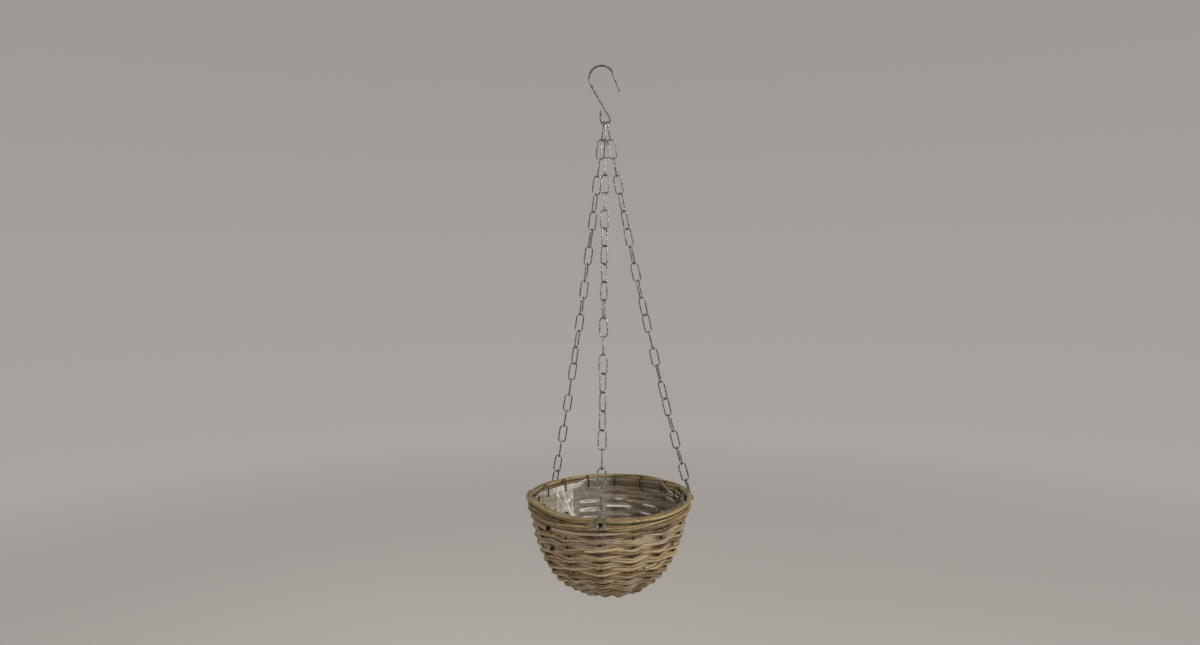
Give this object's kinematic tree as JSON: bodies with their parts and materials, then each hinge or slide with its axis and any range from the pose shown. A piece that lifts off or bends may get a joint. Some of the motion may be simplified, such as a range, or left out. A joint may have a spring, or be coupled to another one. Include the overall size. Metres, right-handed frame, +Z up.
{
  "type": "hanging basket",
  "caption": "Round woven rattan basket with a clear film liner, hung by chains from an S-hook, with a wired cane rim and a flat base.",
  "frame": {"origin": "the point on the inside of the hook's bow that bears on a nail or a bracket, plumb over the middle of the basket", "axes": "+Z up along the plumb line, the hook's wire in the XZ plane, the front chain near -Y"},
  "size_m": [0.2564, 0.2574, 0.7884],
  "materials": {
    "hook_wire": "galvanised, satin",
    "chain_wire": "galvanised, satin",
    "eye_wire": "galvanised, dull",
    "rib_wire": "dark, oiled",
    "rim_cane": "split cane, weathered",
    "woven_rod": "split rods, weathered",
    "base_weave": "split rods, weathered",
    "film": "clear, hazy"
  },
  "bodies": {
    "hook": {"s_hook": "hook_wire"},
    "top_links": {"front_top_link": "chain_wire", "right_top_link": "chain_wire", "left_top_link": "chain_wire"},
    "basket": {"front_chain": "chain_wire", "front_end_link": "chain_wire", "front_eye": "eye_wire", "right_chain": "chain_wire", "right_end_link": "chain_wire", "right_eye": "eye_wire", "left_chain": "chain_wire", "left_end_link": "chain_wire", "left_eye": "eye_wire", "rim_cane_upper": "rim_cane", "rim_cane_lower": "rim_cane", "rim_cane_inner": "rim_cane", "rib_01": "rib_wire", "rib_02": "rib_wire", "rib_03": "rib_wire", "rib_04": "rib_wire", "rib_05": "rib_wire", "rib_06": "rib_wire", "rib_07": "rib_wire", "rib_08": "rib_wire", "rib_09": "rib_wire", "rib_10": "rib_wire", "rib_11": "rib_wire", "rib_12": "rib_wire", "rib_13": "rib_wire", "rib_14": "rib_wire", "rib_15": "rib_wire", "weave_row_01": "woven_rod", "weave_row_02": "woven_rod", "weave_row_03": "woven_rod", "weave_row_04": "woven_rod", "weave_row_05": "woven_rod", "weave_row_06": "woven_rod", "weave_row_07": "woven_rod", "weave_row_08": "woven_rod", "weave_row_09": "woven_rod", "weave_row_10": "woven_rod", "weave_row_11": "woven_rod", "weave_row_12": "woven_rod", "weave_row_13": "woven_rod", "weave_row_14": "woven_rod", "weave_row_15": "woven_rod", "weave_row_16": "woven_rod", "weave_row_17": "woven_rod", "weave_row_18": "woven_rod", "weave_row_19": "woven_rod", "weave_row_20": "woven_rod", "weave_row_21": "woven_rod", "weave_row_22": "woven_rod", "base_pad": "base_weave", "liner": "film"}
  },
  "joints": [
    {"name": "fore_aft_swing", "type": "hinge", "parent": "hook", "child": "top_links", "pos_m": [0, 0, -0.083], "axis": [1, 0, 0], "range_deg": [-45, 45]},
    {"name": "basket_twist", "type": "hinge", "parent": "top_links", "child": "basket", "pos_m": [0, 0, -0.10677], "axis": [0, 0, 1], "range_deg": [-4, 4], "stiffness_Nm_per_rad": 0.003}
  ]
}
